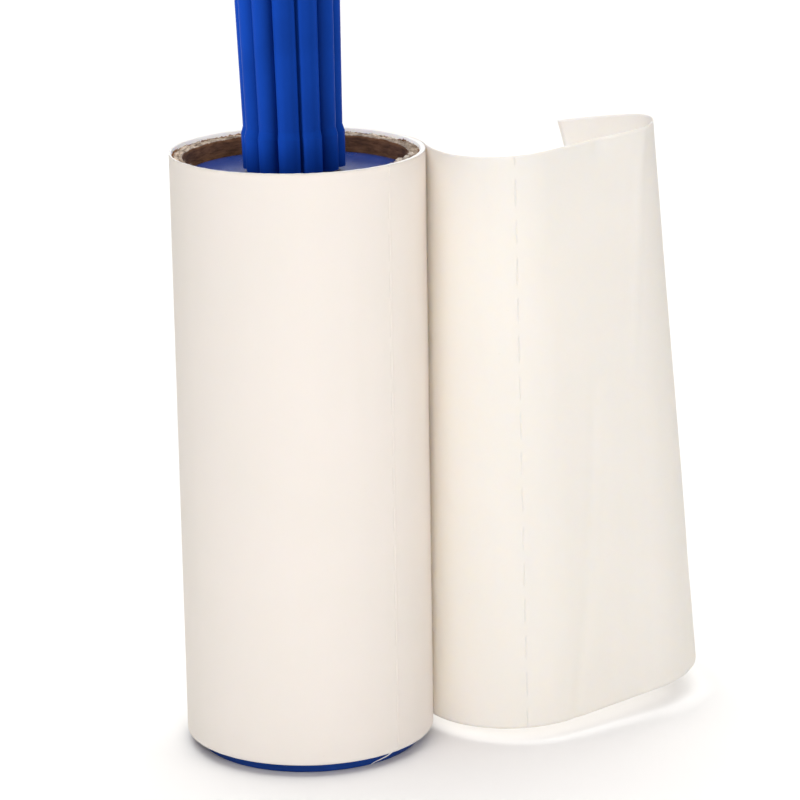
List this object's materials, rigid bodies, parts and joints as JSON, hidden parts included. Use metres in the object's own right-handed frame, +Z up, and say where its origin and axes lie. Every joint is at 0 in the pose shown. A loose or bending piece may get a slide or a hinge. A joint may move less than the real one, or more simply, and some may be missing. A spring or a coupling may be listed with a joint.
{
  "type": "lint roller",
  "caption": "Adhesive lint roller: fluted handle on a spindle, free-spinning roller, slide-off cardboard core of perforated sticky paper with one sheet peeled.",
  "frame": {"origin": "centre of the roller's base face, on which it stands", "axes": "+Z up the roller's axis towards the handle, +X the side where the first sheet is peeled off, -Y the front"},
  "size_m": [0.0921, 0.0541, 0.2258],
  "materials": {
    "handle_plastic": "satin moulded",
    "roller_plastic": "moulded",
    "bush_plastic": "natural acetal",
    "steel": "bright zinc",
    "board": "brown board",
    "grey_board": "grey board",
    "paper": "cream adhesive paper"
  },
  "bodies": {
    "handle": {"grip": "handle_plastic", "grip_plug": "handle_plastic", "butt_cap": "handle_plastic", "spindle": "steel", "thrust_washer": "bush_plastic", "retaining_washer": "steel", "retaining_screw": "steel"},
    "roller": {"lower_flange": "roller_plastic", "upper_disc": "roller_plastic", "hub_tube": "roller_plastic", "lower_bush": "bush_plastic", "upper_bush": "bush_plastic", "flange_cover": "roller_plastic", "core_rib_1": "roller_plastic", "core_rib_2": "roller_plastic", "core_rib_3": "roller_plastic", "core_rib_4": "roller_plastic"},
    "refill": {"core_inner_ply": "board", "core_middle_ply": "grey_board", "core_outer_ply": "grey_board", "wound_sheets": "paper", "outer_turn": "paper"},
    "loose_sheet": {"peeled_sheet": "paper", "sheet_tip": "paper"}
  },
  "joints": [
    {"name": "roller_spin", "type": "hinge", "parent": "handle", "child": "roller", "pos_m": [0, 0, 0], "axis": [0, 0, 1], "continuous": true},
    {"name": "refill_slide", "type": "slide", "parent": "roller", "child": "refill", "axis": [0, 0, 1], "range_m": [0, 0.23]},
    {"name": "sheet_peel", "type": "hinge", "parent": "refill", "child": "loose_sheet", "pos_m": [0.02169, 0.00305, 0], "axis": [0, 0, 1], "range_deg": [-8, 25], "stiffness_Nm_per_rad": 0.004}
  ]
}
